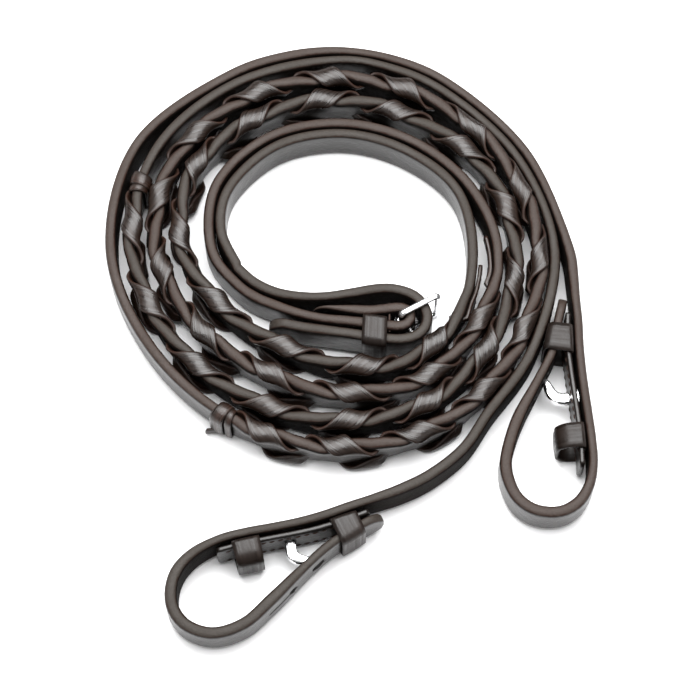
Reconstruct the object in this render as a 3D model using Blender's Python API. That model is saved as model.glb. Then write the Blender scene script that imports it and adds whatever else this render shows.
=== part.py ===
"""Laced leather riding reins, coiled on edge, with hook-stud billets and a centre buckle.

Plan points are hand-set in millimetres on the floor plane and joined by smooth routes.
"""

import math

import bmesh
import bpy
import numpy as np

MM = 0.001
PLAN_SHIFT = (0.99, -6.43)       # moves the plan so its footprint is centred on the origin
COIL = np.array([-4.0, 40.0])   # centre of the coil in the plan

STRAP_WIDTH = 16.0
STRAP_THICK = 3.6
CHAPE_THICK = 2.2
EDGE = 0.8                      # chamfer along every leather edge
GAP = 0.3                       # clearance between touching pieces
LACE_WIDTH = 5.0
LACE_THICK = 1.0
LACE_GAP = 0.4
SLOT_LENGTH = 1.8
LACE_MID = 10.75                # height of the upper slots above the bottom edge
LACE_STAGGER = 3.5              # the lower slots sit this far past the upper ones
LACED_LIFT = 1.5
BUCKLE_LIFT = 2.5
KEEPER_WALL = 1.2
KEEPER_BACK = 0.7
BAR = np.array([20.1, 10.6])    # buckle bar axis in the plan
BAR_RADIUS = 1.25
FRAME_LENGTH = 16.5
FRAME_ANGLE = 29.0
FRAME_HEIGHT = 21.0
TONGUE_ANGLE = -34.0
TONGUE_LENGTH = 13.6
TONGUE_Z = 10.5
THREAD = 0.3                    # half width of the stitching thread
STITCH_IN = 2.5                 # stitching distance from the edges of a strap
STITCH_HEIGHTS = (4.6, 8.0, 13.0, 16.4)     # where the seam passes through the folded end
SEAM_X = 15.6                   # plan place of that seam, and its front and back
SEAM_FRONT = 4.4
SEAM_BACK = 16.4
TIP = 7.0                       # length of the rounding at a rein's free ends
CHAPE_TIP = 1.2
HOLE_AT = 45.0                  # from the billet tip to its round hole, along the strap
HOLE_RADIUS = 2.3
SLIT_LENGTH = 12.0
CATCH_LENGTH = 6.4              # opening that the hook's point sits in
CHORD_ERROR = 0.15              # how far a bend may stand off its flat facets

# Coil stations: angle in degrees about the coil centre, radius in mm.
RIGHT_COIL = [
    (0, 91.9), (30, 87.2), (60, 87.3), (75, 88.8), (90, 90.0), (105, 90.4), (120, 91.0),
    (150, 95.3), (180, 91.8), (210, 85.2), (240, 83.0), (270, 83.3), (300, 83.2), (330, 81.1),
    (360, 80.0), (390, 77.6), (420, 76.5), (450, 77.0), (480, 77.8), (510, 78.0), (540, 73.5),
    (570, 65.0), (600, 59.8), (630, 60.8), (660, 63.8), (690, 63.2), (720, 63.0), (750, 59.2),
    (780, 56.8), (810, 56.7), (840, 58.2), (870, 57.8), (900, 51.2), (920, 43.3)]
LEFT_COIL = [
    (-50, 90.0), (-30, 87.0), (0, 85.9), (30, 83.0), (60, 83.1), (75, 84.6), (90, 85.8), (120, 86.4),
    (150, 86.8), (180, 83.2), (210, 76.5), (240, 72.5), (270, 72.5), (300, 73.3), (330, 71.2),
    (360, 70.2), (390, 68.8), (420, 65.8), (450, 67.0), (480, 68.0), (510, 69.0), (540, 63.0),
    (570, 52.3), (600, 47.0), (630, 49.0), (660, 54.5), (690, 54.6), (720, 53.0), (750, 54.1),
    (780, 51.9), (810, 52.0), (840, 53.2), (870, 52.6), (890, 48.5), (910, 41.5)]

# Free ends, from the billet tip round the bit loop to the coil, and from the coil to the buckle.
RIGHT_BIT = [
    (85.0, 20.0), (83.5, 14.0), (82.3, 9.0), (81.0, 2.0), (79.5, -4.0), (76.6, -10.0),
    (71.3, -20.0), (66.0, -30.0), (62.3, -40.0), (60.2, -50.0), (61.2, -57.0), (64.5, -64.0),
    (70.0, -68.3), (76.5, -69.8), (82.5, -69.0), (88.5, -65.0), (92.5, -58.0), (94.1, -50.0),
    (93.8, -40.0), (92.8, -30.0), (91.7, -20.0), (90.8, -10.0), (90.3, 0.0), (90.2, 10.0),
    (89.5, 20.0), (89.0, 30.0)]
LEFT_BIT = [
    (12.5, -70.8), (8.0, -72.8), (2.0, -76.1), (-4.0, -80.0), (-10.0, -84.6), (-20.0, -94.3),
    (-30.0, -104.5), (-40.0, -113.6), (-52.0, -117.3), (-62.0, -114.0), (-66.8, -108.0),
    (-68.0, -101.0), (-66.0, -93.0), (-60.0, -86.0), (-50.0, -80.5), (-40.0, -77.7),
    (-30.0, -75.8), (-20.0, -73.7), (-10.0, -70.9), (0.0, -67.3), (10.0, -63.9), (20.0, -60.2),
    (31.0, -54.5), (44.2, -43.5)]
RIGHT_BUCKLE = [
    (-37.8, 19.9), (-31.0, 16.6), (-20.0, 12.3), (-10.0, 9.9), (0.0, 8.8), (10.0, 7.6),
    (16.0, 6.9), (20.0, 6.7), (23.0, 8.2), (24.0, 10.8), (22.7, 13.4), (20.0, 14.5),
    (14.0, 13.9), (8.0, 13.3), (0.0, 13.8), (-8.0, 14.4), (-14.5, 15.0)]
LEFT_BUCKLE = [
    (-45.7, 33.4), (-39.0, 26.5), (-30.0, 21.5), (-20.0, 19.4), (-10.0, 19.2), (0.0, 20.6),
    (10.0, 22.4), (15.0, 22.7), (20.0, 21.9), (25.0, 19.9), (28.5, 16.4), (30.6, 10.8),
    (29.3, 5.8), (26.0, 2.6), (20.0, 1.1), (10.0, 1.9), (0.0, 3.5), (-10.0, 4.9),
    (-20.0, 6.4), (-26.0, 7.7), (-32.0, 8.2)]
RIGHT_CHAPE = [
    (86.3, 13.0), (85.9, 6.0), (85.9, -3.0), (86.5, -10.0), (87.3, -18.0), (88.3, -27.0),
    (89.2, -36.0), (89.6, -43.0), (89.8, -51.0)]
LEFT_CHAPE = [
    (-51.0, -85.3), (-44.0, -83.2), (-33.0, -80.7), (-27.0, -79.5), (-21.0, -78.3),
    (-14.0, -76.7), (-8.0, -74.9), (0.0, -72.2), (7.5, -69.3)]

# The hooks' own bends: plan point, half width and half height.
RIGHT_HOOK = [
    (84.0, -21.5, 2.4, 2.2), (81.6, -21.2, 2.4, 2.2), (79.8, -20.0, 2.3, 2.1),
    (78.7, -18.0, 2.0, 2.0), (77.7, -15.6, 1.6, 1.8), (76.2, -12.9, 1.1, 1.4)]
LEFT_HOOK = [
    (-22.6, -82.2, 2.4, 2.2), (-22.3, -84.2, 2.4, 2.2), (-21.0, -86.0, 2.3, 2.1),
    (-18.9, -86.9, 2.0, 2.0), (-16.4, -87.1, 1.6, 1.8), (-13.6, -87.7, 1.1, 1.4)]

# Lace crossings: angle at the middle of each wrap, first the binding's own angle.
RIGHT_BINDING = 238.0
RIGHT_WRAPS = [
    249.5, 269.5, 291.5, 313, 334, 358, 379.5, 406, 431, 453.5, 476.5, 498.5, 523, 546, 574,
    601.5, 634, 663, 691]
LEFT_BINDING = 161.0
LEFT_WRAPS = [
    173.5, 197, 222, 248, 274, 298, 323, 350, 374.5, 401, 430, 455, 482, 506.5, 533, 566, 604,
    642, 673]
TAIL_LENGTH = 24.0
LOWER_TAIL = 8.0
BINDING_WIDTH = 7.0


class Route:
    """A smooth plan curve sampled finely and addressed by length from its start."""

    def __init__(self, points):
        p = np.asarray(points, float)
        p = np.vstack([2 * p[0] - p[1], p, 2 * p[-1] - p[-2]])
        out = []
        for i in range(1, len(p) - 2):
            a, b, c, d = p[i - 1:i + 3]
            ka = math.dist(a, b) ** 0.5
            kb = math.dist(b, c) ** 0.5
            kc = math.dist(c, d) ** 0.5
            m1 = (b - a) / ka - (c - a) / (ka + kb) + (c - b) / kb
            m2 = (c - b) / kb - (d - b) / (kb + kc) + (d - c) / kc
            for t in np.arange(0, 1, 1 / 24):
                h = (2 * t**3 - 3 * t**2 + 1, t**3 - 2 * t**2 + t, 3 * t**2 - 2 * t**3, t**3 - t**2)
                out.append(h[0] * b + h[1] * kb * m1 + h[2] * c + h[3] * kb * m2)
        out.append(p[-2])
        self.xy = np.array(out)
        self.s = np.r_[0, np.cumsum(np.hypot(*np.diff(self.xy, axis=0).T))]
        self.length = self.s[-1]
        polar = np.unwrap(np.arctan2(*(self.xy - COIL).T[::-1]))
        self.angle = np.degrees(polar)

    def at(self, s):
        return np.array([np.interp(s, self.s, self.xy[:, 0]), np.interp(s, self.s, self.xy[:, 1])])

    def tangent(self, s, reach=0.6):
        d = self.at(s + reach) - self.at(s - reach)
        return d / np.hypot(*d)

    def side(self, s):
        """Unit vector to the right of travel, which is outward on the coil."""
        t = self.tangent(s)
        return np.array([t[1], -t[0]])

    def near(self, xy):
        return self.s[np.argmin(np.hypot(*(self.xy - np.asarray(xy)).T))]

    def spot(self, s, n, z):
        x, y = self.at(s) + n * self.side(s)
        return (x, y, z)


class Strap:
    """A route with the height of its bottom edge, and the lengths at which the coil begins."""

    def __init__(self, bit, coil, buckle, coil_from, binding, wraps):
        stations = [COIL + r * np.array([math.cos(math.radians(a)), math.sin(math.radians(a))])
                    for a, r in coil]
        self.route = Route(bit + [tuple(q) for q in stations] + buckle)
        self.start = self.route.near(stations[0])
        begin = np.searchsorted(self.route.s, self.start)
        turn = 360 * round((self.route.angle[begin] - coil_from) / 360)
        self.angle = self.route.angle[begin:] - turn
        self.angle_s = self.route.s[begin:]
        self.binding = self.at_angle(binding)
        mids = [self.at_angle(a) for a in wraps]
        self.slots = [self.binding] + [(a + b) / 2 for a, b in zip(mids, mids[1:])]
        self.slots.append(2 * mids[-1] - self.slots[-1])
        self.lift_table = [
            (0, LACED_LIFT), (self.start - 60, LACED_LIFT), (self.start + 20, 0),
            (self.binding - 70, 0), (self.binding - 15, LACED_LIFT),
            (self.slots[-1] + 30, LACED_LIFT), (self.slots[-1] + 80, 0),
            (self.route.near(buckle[0]) - 20, 0), (self.route.near(buckle[4]), BUCKLE_LIFT)]

    def at_angle(self, a):
        return float(np.interp(a, self.angle, self.angle_s))

    def lift(self, s):
        for (a, low), (b, high) in zip(self.lift_table, self.lift_table[1:]):
            if s <= b:
                t = min(max((s - a) / (b - a), 0), 1)
                return low + (high - low) * t * t * (3 - 2 * t)
        return self.lift_table[-1][1]


def clear_scene():
    for obj in list(bpy.data.objects):
        bpy.data.objects.remove(obj, do_unlink=True)


def make_collection(name):
    group = bpy.data.collections.new(name)
    bpy.context.scene.collection.children.link(group)
    return group


def make_material(name, colour, roughness, metallic=0.0):
    material = bpy.data.materials.new(name)
    material.use_nodes = True
    shader = material.node_tree.nodes["Principled BSDF"]
    shader.inputs["Base Color"].default_value = (*colour, 1)
    shader.inputs["Roughness"].default_value = roughness
    shader.inputs["Metallic"].default_value = metallic
    material.diffuse_color = (*colour, 1)
    return material


def loft(name, rings, material, group, origin, closed=False, smooth=False):
    """One closed solid through equal rings of points, capped at both ends unless closed.

    A cutter has no material of its own.
    """
    rings = np.asarray(rings, float)
    count, around = rings.shape[:2]
    shift = np.array([*PLAN_SHIFT, 0.0])
    base = np.asarray(origin, float)
    mesh = bpy.data.meshes.new(name)
    build = bmesh.new()
    verts = [[build.verts.new(tuple((p - base) * MM)) for p in ring] for ring in rings]
    for i in range(count if closed else count - 1):
        here = verts[i]
        ahead = verts[(i + 1) % count]
        for j in range(around):
            k = (j + 1) % around
            build.faces.new((here[j], here[k], ahead[k], ahead[j]))
    if not closed:
        build.faces.new(verts[0][::-1])
        build.faces.new(verts[-1])
    bmesh.ops.recalc_face_normals(build, faces=build.faces)
    bmesh.ops.triangulate(build, faces=build.faces, quad_method="SHORT_EDGE")
    build.to_mesh(mesh)
    build.free()
    obj = bpy.data.objects.new(name, mesh)
    obj.location = tuple((base + shift) * MM)
    if material:
        mesh.materials.append(material)
    for face in mesh.polygons:
        face.use_smooth = smooth
    group.objects.link(obj)
    return obj


def cut(target, cutter):
    """Take the cutter out of the target with an exact Boolean."""
    cut_by = target.modifiers.new(cutter.name, "BOOLEAN")
    cut_by.operation = "DIFFERENCE"
    cut_by.solver = "EXACT"
    cut_by.object = cutter


def stations(route, first, last):
    """Lengths along a route spaced by how tightly it bends."""
    out = [first]
    while out[-1] < last - 0.8:
        s = out[-1]
        ahead = route.tangent(min(s + 3, last), 1.5)
        behind = route.tangent(s, 1.5)
        turn = abs(math.asin(max(-1, min(1, behind[0] * ahead[1] - behind[1] * ahead[0]))))
        radius = 3 / max(turn, 1e-4)
        out.append(s + min(max(math.sqrt(8 * CHORD_ERROR * radius), 1.6), 12.0))
    out[-1] = last
    return out


def strap_ring(route, s, thick, low, high):
    """Chamfered rectangular section standing across the route."""
    half = thick / 2
    corners = [
        (-half, low + EDGE), (-half + EDGE, low), (half - EDGE, low), (half, low + EDGE),
        (half, high - EDGE), (half - EDGE, high), (-half + EDGE, high), (-half, high - EDGE)]
    return [route.spot(s, n, z) for n, z in corners]


def flat_strap(name, route, thick, lift, tip, material, group):
    """A strap standing on edge along its route, both ends rounded over the length of tip."""
    ends = [tip * part for part in (0, 0.1, 0.3, 0.6, 1)]
    lengths = ends + [s for s in stations(route, tip, route.length - tip)[1:-1]]
    lengths += [route.length - s for s in ends[::-1]]
    rings = []
    for s in lengths:
        inset = min(s, route.length - s) / tip
        tall = math.sqrt(1 - (1 - min(inset + 0.04, 1)) ** 2) * STRAP_WIDTH / 2
        middle = lift(s) + STRAP_WIDTH / 2
        rings.append(strap_ring(route, s, thick, middle - tall, middle + tall))
    return loft(name, rings, material, group, route.spot(0, 0, lift(0)))


def block(name, route, s, long, across, low, high, group, offset=0.0):
    """A plain cutter standing across a route."""
    rings = []
    for step in (-long / 2, long / 2):
        along = route.tangent(s)
        out = route.side(s)
        centre = route.at(s) + step * along + offset * out
        a = centre - across / 2 * out
        b = centre + across / 2 * out
        rings.append([(*a, low), (*b, low), (*b, high), (*a, high)])
    return loft(name, rings, None, group, (*route.at(s), low))


def lace_rings(strap, side, lower):
    """Rings of a lace that goes round one edge and through each slot in turn.

    Between two slots the lace keeps a constant slope on the unrolled surface of the strap,
    where u runs from the slot up one face, over the edge and down the other face.
    """
    route = strap.route
    near = STRAP_THICK / 2 + LACE_GAP
    far = near + LACE_THICK
    top = STRAP_WIDTH + LACE_GAP
    turn = 0.9
    turn_out = turn + 0.586 * LACE_THICK
    rise = top - turn - LACE_MID
    slant = turn * math.sqrt(2)
    total = 2 * (rise + slant + near - turn)
    rings = []

    def place(u, outer):
        v = min(u, total - u)
        if v < rise - 0.01:
            n, z = (far if outer else near), LACE_MID + v
        elif v < rise + 0.01:
            n, z = (far, top + LACE_THICK - turn_out) if outer else (near, top - turn)
        else:
            n, z = (far - turn_out, top + LACE_THICK) if outer else (near - turn, top)
        return (n if u < total / 2 else -n) * side, (STRAP_WIDTH - z if lower else z)

    def rung(lead, trail, swap, mitre=0):
        points = []
        for s, u in (lead, trail):
            for outer in (False, True):
                length = s + mitre * LACE_THICK / 2 * (-1 if outer else 1)
                n, z = place(u, outer)
                points.append(route.spot(length, n, strap.lift(length) + z))
        lead_in, lead_out, trail_in, trail_out = points
        if swap:
            rings.append([trail_out, lead_out, lead_in, trail_in])
        else:
            rings.append([lead_in, trail_in, trail_out, lead_out])

    shift = LACE_STAGGER if lower else 0.0
    slots = [s + shift for s in strap.slots]
    for k, (a, b) in enumerate(zip(slots, slots[1:])):
        swap = k % 2 == 1
        slope = total / (b - a)
        half = LACE_WIDTH / 2 * math.sqrt(1 + slope * slope)
        early = 0.5 * (rise - half) / slope
        late = 0.5 * (rise + half) / slope
        if k:
            rung((a, half), (a, -half), swap, 1)
        else:
            first = BINDING_WIDTH / 2 - 1 + LACE_GAP
            rung((a + first, half + slope * first), (a + first, slope * first - half), swap)
        if k or not lower:
            rung((a + early, half + slope * early), (a + late, slope * late - half), swap)
        for u in (rise, rise + slant, total - rise - slant, total - rise):
            rung((a + (u - half) / slope, u), (a + (u + half) / slope, u), swap)
        rung((b - late, total - slope * late + half), (b - early, total - slope * early - half),
             swap)
        rung((b, total + half), (b, total - half), swap, -1)
    swap = len(slots) % 2 == 0
    end = slots[-1]
    rung((end, half), (end, -half), swap, 1)
    flat = LACE_WIDTH / 2
    tail = LOWER_TAIL if lower else TAIL_LENGTH
    for part in (1 / 3, 2 / 3, 1):
        rung((end + part * tail, flat), (end + part * tail, -flat), swap)
    return rings


def band_rings(back, front, low, high, wall, back_wall, front_round):
    """Rings of a flat loop between two pairs of plan points, one pair per open end.

    back and front each hold the plan points of the inner wall face at the two open ends.
    """
    rings = []
    outline = []
    for n_side, z_side, middle, bend in (
            (0, 0, 180, 0.5), (1, 0, 270, front_round), (1, 1, 0, front_round),
            (0, 1, 90, 0.5)):
        steps = 5 if bend > 2 else 3
        for i in range(steps):
            turn = math.radians(middle + 90 * i / (steps - 1))
            outline.append((n_side, z_side, math.cos(turn), math.sin(turn), bend))
    for n_side, z_side, cx, cz, bend in outline:
        ring = []
        for end in (0, 1):
            b = np.asarray(back[end], float)
            f = np.asarray(front[end], float)
            out = (f - b) / np.hypot(*(f - b))
            for outer in ((0, 1) if end == 0 else (1, 0)):
                grow_n = (wall if n_side else back_wall) * outer
                grow_z = wall * outer
                corner = f - bend * out if n_side else b + bend * out
                z_mid = high - bend if z_side else low + bend
                xy = corner + out * cx * (bend + grow_n)
                ring.append((*xy, z_mid + cz * (bend + grow_z)))
        rings.append(ring)
    return rings


def bar_rings(path, sizes, around=8, power=1.0):
    """Rings of a bar along a path in space; sizes are (across, up) half widths.

    The section is an oval for power 1 and nearer a rounded rectangle for a smaller power.
    """
    path = np.asarray(path, float)
    rings = []
    for i, point in enumerate(path):
        ahead = path[min(i + 1, len(path) - 1)] - path[max(i - 1, 0)]
        ahead /= np.linalg.norm(ahead)
        flat = np.cross(ahead, (0, 0, 1))
        flat /= np.linalg.norm(flat)
        up = np.cross(flat, ahead)
        across, tall = sizes[i]
        ring = []
        for k in range(around):
            t = 2 * math.pi * (k + 0.5) / around
            a = math.copysign(abs(math.cos(t)) ** power, math.cos(t))
            b = math.copysign(abs(math.sin(t)) ** power, math.sin(t))
            ring.append(point + flat * across * a + up * tall * b)
        rings.append(ring)
    return rings


def keeper(name, back, front, lift, material, group, front_round=0.6):
    low = lift - GAP
    high = lift + STRAP_WIDTH + GAP
    rings = band_rings(back, front, low, high, KEEPER_WALL, KEEPER_BACK, front_round)
    middle = np.mean([*back, *front], axis=0)
    return loft(name, rings, material, group, (*middle, low - KEEPER_WALL), closed=True)


def hook_stud(name, foot, heading, bends, height, material, group):
    """Stud plate, shank and hook as one tapering bar that starts behind the chape."""
    foot = np.asarray(foot, float)
    heading = np.asarray(heading, float) / np.hypot(*heading)
    inner = CHAPE_THICK + 2 * GAP
    depths = [(-GAP - 0.6, 3.5, 3.5), (-GAP, 3.5, 3.5), (-GAP + 0.01, 1.4, 1.6),
              (inner - 0.3, 1.4, 1.6), (inner, 2.3, 2.2)]
    path = [(*(foot + heading * d), height) for d, _, _ in depths]
    sizes = [(a, b) for _, a, b in depths]
    curve = Route([point[:2] for point in bends])
    at_bend = [curve.near(point[:2]) for point in bends]
    for s in np.linspace(0, curve.length, 14):
        path.append((*curve.at(s), height))
        sizes.append([np.interp(s, at_bend, [point[k] for point in bends]) for k in (2, 3)])
    rings = bar_rings(path, sizes, 16, 0.55)
    return loft(name, rings, material, group, (*foot, height), smooth=True)


def thread_rings(path, half, place):
    """Rings of a square thread along a path in a flat sheet, mitred at every corner.

    place maps a point of the sheet and a distance out of it to a point in space.
    """
    path = np.asarray(path, float)
    steps = np.diff(path, axis=0)
    steps /= np.hypot(*steps.T)[:, None]
    rings = []
    for i, (a, b) in enumerate(path):
        before = steps[max(i - 1, 0)]
        after = steps[min(i, len(steps) - 1)]
        middle = (before + after) / np.hypot(*(before + after))
        reach = half / max(float(middle @ after), 0.5)
        da, db = -middle[1] * reach, middle[0] * reach
        rings.append([place(a + k * da, b + k * db, c * half)
                      for k, c in ((1, 1), (1, -1), (-1, -1), (-1, 1))])
    return rings


def chape_stitching(name, route, lift, first, last, material, group):
    """A line of thread up one side of the chape, across its end and back down."""
    n = CHAPE_THICK / 2 + GAP + THREAD
    lengths = stations(route, first, last)
    path = [(s, STITCH_IN) for s in lengths]
    path += [(s, STRAP_WIDTH - STITCH_IN) for s in lengths[::-1]]
    rings = thread_rings(path, THREAD, lambda s, z, c: route.spot(s, n + c, lift + z))
    return loft(name, rings, material, group, route.spot(first, n, lift + STITCH_IN))


def buckle_frame(material, group):
    """Bar, two arms and end bar as one closed wire rectangle standing on its edge."""
    turn = math.radians(FRAME_ANGLE)
    out = np.array([math.cos(turn), math.sin(turn)])
    wire = 1.0
    bend = 1.6
    corners = [(0, wire, 180), (FRAME_LENGTH, wire, 270), (FRAME_LENGTH, FRAME_HEIGHT - wire, 0),
               (0, FRAME_HEIGHT - wire, 90)]
    path = []
    for d, z, middle in corners:
        inward_d = bend if d == 0 else -bend
        inward_z = bend if z < FRAME_HEIGHT / 2 else -bend
        for i in range(5):
            t = math.radians(middle + 22.5 * i)
            path.append((d + inward_d + bend * math.cos(t), z + inward_z + bend * math.sin(t)))
    rings = []
    for i, (d, z) in enumerate(path):
        before = path[i - 1]
        after = path[(i + 1) % len(path)]
        ahead = np.array([after[0] - before[0], after[1] - before[1]])
        ahead /= np.hypot(*ahead)
        across = np.array([-ahead[1], ahead[0]])
        side = abs(ahead[1])
        half = (wire * (1 - side) + BAR_RADIUS * side, 1.3)
        ring = []
        for k in range(10):
            t = 2 * math.pi * (k + 0.5) / 10
            u = np.array([d, z]) + across * half[0] * math.cos(t)
            xy = BAR + out * u[0] + np.array([-out[1], out[0]]) * half[1] * math.sin(t)
            ring.append((*xy, u[1]))
        rings.append(ring)
    return loft("buckle_frame", rings, material, group, (*BAR, 0), closed=True, smooth=True)


def buckle_tongue(material, group):
    """A bar curled round the buckle bar and running out to a blunt point."""
    turn = math.radians(TONGUE_ANGLE)
    out = np.array([math.cos(turn), math.sin(turn)])
    left = np.array([-out[1], out[0]])
    half = 0.75
    curl = BAR_RADIUS + GAP + half
    path = []
    sizes = []
    for i in range(12):
        t = math.radians(30 + 240 * i / 11)
        path.append((curl * math.cos(t), curl * math.sin(t)))
        sizes.append(half)
    for d, drop, size in ((2.5, 1.9, 0.8), (5.5, 1.0, 0.95), (9.0, 0.3, 0.95), (12.0, 0.0, 0.85),
                          (TONGUE_LENGTH, 0.0, 0.6)):
        path.append((d, -drop))
        sizes.append(size)
    points = [(*(BAR + out * a + left * b), TONGUE_Z) for a, b in path]
    rings = bar_rings(points, [(s, 1.5 if s < 0.8 else 1.2) for s in sizes], 8)
    return loft("buckle_tongue", rings, material, group, (*BAR, TONGUE_Z), smooth=True)


def punched_hole(name, route, s, radius, height, group):
    """A round through cutter standing across a strap."""
    rings = []
    for n in (-STRAP_THICK, STRAP_THICK):
        centre = np.array(route.spot(s, n, height))
        along = np.array([*route.tangent(s), 0])
        rings.append([centre + radius * (math.cos(t) * along + math.sin(t) * np.array([0, 0, 1]))
                      for t in np.radians(np.arange(15, 375, 30))])
    return loft(name, rings, None, group, route.spot(s, 0, height))


def buckle_stitching(material, group):
    """Thread passing four times through the folded strap beside the buckle keeper."""
    path = []
    for k, z in enumerate(STITCH_HEIGHTS):
        pair = [(SEAM_FRONT, z), (SEAM_BACK, z)]
        path += pair if k % 2 == 0 else pair[::-1]
    rings = thread_rings(path, THREAD, lambda y, z, c: (SEAM_X + c, y, z))
    return loft("buckle_stitching", rings, material, group,
                (SEAM_X, SEAM_FRONT, STITCH_HEIGHTS[0]))


def stitch_holes(group):
    half = THREAD + GAP
    corners = [(-1, -1), (1, -1), (1, 1), (-1, 1)]
    holes = []
    for k, z in enumerate(STITCH_HEIGHTS):
        rings = [[(SEAM_X + a * half, y, z + b * half) for a, b in corners]
                 for y in (SEAM_FRONT - 1, SEAM_BACK + 1)]
        holes.append(loft(f"stitch_hole_{k}", rings, None, group, (SEAM_X, SEAM_FRONT, z)))
    return holes


def binding(strap, name, material, group):
    """Two turns of lace laid side by side round the strap where the lacing begins."""
    s = strap.binding - 1.0
    near = STRAP_THICK / 2 + LACE_GAP
    lift = strap.lift(s)
    ends = [s - BINDING_WIDTH / 2, s + BINDING_WIDTH / 2]
    back = [strap.route.spot(e, -near, 0)[:2] for e in ends]
    front = [strap.route.spot(e, near, 0)[:2] for e in ends]
    rings = band_rings(back, front, lift - LACE_GAP, lift + STRAP_WIDTH + LACE_GAP, LACE_THICK,
                       LACE_THICK, 0.6)
    return loft(name, rings, material, group, strap.route.spot(s, 0, lift), closed=True)


def build_side(name, strap, chape, hook, side, keepers, seam, look, group, cutters):
    """One rein with its laces, binding, chape, keepers, hook stud and stitching."""
    leather, lace, metal, thread = look
    rein = flat_strap(f"{name}_rein", strap.route, STRAP_THICK, strap.lift, TIP, leather, group)
    for k, s in enumerate(strap.slots[1:]):
        for tier, middle, step in (("upper", LACE_MID, 0),
                                   ("lower", STRAP_WIDTH - LACE_MID, LACE_STAGGER)):
            lift = strap.lift(s + step)
            slot = block(f"{name}_{tier}_slot_{k}", strap.route, s + step, SLOT_LENGTH, 12,
                         lift + middle - 3.1, lift + middle + 3.1, cutters)
            cut(rein, slot)
    for tier in ("upper", "lower"):
        rings = lace_rings(strap, side, tier == "lower")
        loft(f"{name}_lace_{tier}", rings, lace, group, rings[0][0])
    binding(strap, f"{name}_lace_binding", lace, group)

    strip = flat_strap(f"{name}_chape", chape, CHAPE_THICK, lambda s: LACED_LIFT, CHAPE_TIP,
                       leather, group)
    stud_s = chape.near(hook[0][:2])
    foot = chape.spot(stud_s, -CHAPE_THICK / 2, 0)[:2]
    height = LACED_LIFT + STRAP_WIDTH / 2
    hook_stud(f"{name}_hook_stud", foot, chape.side(stud_s), hook, height, metal, group)
    chape_stitching(f"{name}_chape_stitching", chape, LACED_LIFT, *seam, thread, group)
    for part, back, front, bend in keepers:
        keeper(f"{name}_keeper_{part}", back, front, LACED_LIFT, leather, group, bend)

    cut(strip, punched_hole(f"{name}_shank_hole", chape, stud_s, 2.1, height, cutters))
    cut(rein, block(f"{name}_catch_hole", strap.route, strap.route.near(hook[-1][:2]),
                    CATCH_LENGTH, 9, height - 2.2, height + 2.2, cutters))
    cut(rein, punched_hole(f"{name}_round_hole", strap.route, HOLE_AT, HOLE_RADIUS, height,
                           cutters))
    cut(rein, block(f"{name}_slit", strap.route, HOLE_AT + 1 + SLIT_LENGTH / 2, SLIT_LENGTH, 9,
                    height - 0.3, height + 0.3, cutters))
    return rein


def walls(route, points, n):
    """Plan points at a distance n to the side of the route, beside the given points."""
    return [route.spot(route.near(p), n, 0)[:2] for p in points]


clear_scene()
PARTS = make_collection("leather_reins")
CUTTERS = make_collection("cutters")
RIGHT_LEATHER = make_material("leather_right", (0.055, 0.037, 0.034), 0.45)
LEFT_LEATHER = make_material("leather_left", (0.05, 0.042, 0.038), 0.45)
LACE = make_material("lace_leather", (0.045, 0.028, 0.024), 0.38)
METAL = make_material("polished_steel", (0.75, 0.75, 0.76), 0.16, 1.0)
STITCH = make_material("waxed_thread", (0.05, 0.033, 0.028), 0.7)

right = Strap(RIGHT_BIT, RIGHT_COIL, RIGHT_BUCKLE, 0, RIGHT_BINDING, RIGHT_WRAPS)
left = Strap(LEFT_BIT, LEFT_COIL, LEFT_BUCKLE, -50, LEFT_BINDING, LEFT_WRAPS)
right_chape = Route(RIGHT_CHAPE)
left_chape = Route(LEFT_CHAPE)
behind = -(CHAPE_THICK / 2 + GAP)
beyond = STRAP_THICK / 2 + GAP
right_keepers = [
    ("tip", walls(right_chape, [(86, 7), (86, -4.5)], behind),
     walls(right.route, [(81.9, 7.5), (79.4, -4)], beyond + 0.4), 0.6),
    ("loop", walls(right_chape, [(89, -34), (89.6, -44)], behind),
     walls(right_chape, [(89, -34), (89.6, -44)], 8.3), 5.0)]
left_keepers = [
    ("tip", walls(left_chape, [(-7, -74.5), (2.6, -71)], behind),
     walls(left.route, [(-4.5, -80.5), (4.6, -74.7)], -beyond), 0.6),
    ("loop", walls(left_chape, [(-44.5, -83.4), (-34.5, -81)], behind),
     walls(left_chape, [(-44.5, -83.4), (-34.5, -81)], 7.2), 4.0)]

right_seam = (right_chape.near((86.2, 5)), right_chape.length - 3)
left_seam = (3, left_chape.near((-1, -72.5)))
right_rein = build_side("right", right, right_chape, RIGHT_HOOK, -1, right_keepers, right_seam,
                        (RIGHT_LEATHER, LACE, METAL, STITCH), PARTS, CUTTERS)
left_rein = build_side("left", left, left_chape, LEFT_HOOK, 1, left_keepers, left_seam,
                       (LEFT_LEATHER, LACE, METAL, STITCH), PARTS, CUTTERS)

buckle_frame(METAL, PARTS)
buckle_tongue(METAL, PARTS)
keeper("buckle_keeper", walls(right.route, [(5, 8.2), (14.6, 7.1)], -beyond),
       walls(left.route, [(5, 2.7), (14.6, 1.4)], -beyond), BUCKLE_LIFT, RIGHT_LEATHER, PARTS)
buckle_stitching(STITCH, PARTS)
for hole in stitch_holes(CUTTERS):
    cut(right_rein, hole)
fold_s = right.route.near((24.0, 10.8))
cut(right_rein, block("tongue_slot", right.route, fold_s, 17, 11.6, TONGUE_Z - 2, TONGUE_Z + 2,
                      CUTTERS, -3.0))
prong = (math.cos(math.radians(TONGUE_ANGLE)), math.sin(math.radians(TONGUE_ANGLE)))
pierced = left.route.near(BAR + 10.7 * np.array(prong))
cut(left_rein, block("prong_hole", left.route, pierced, 4.2, 8, TONGUE_Z - 1.8, TONGUE_Z + 1.8,
                     CUTTERS))

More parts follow.
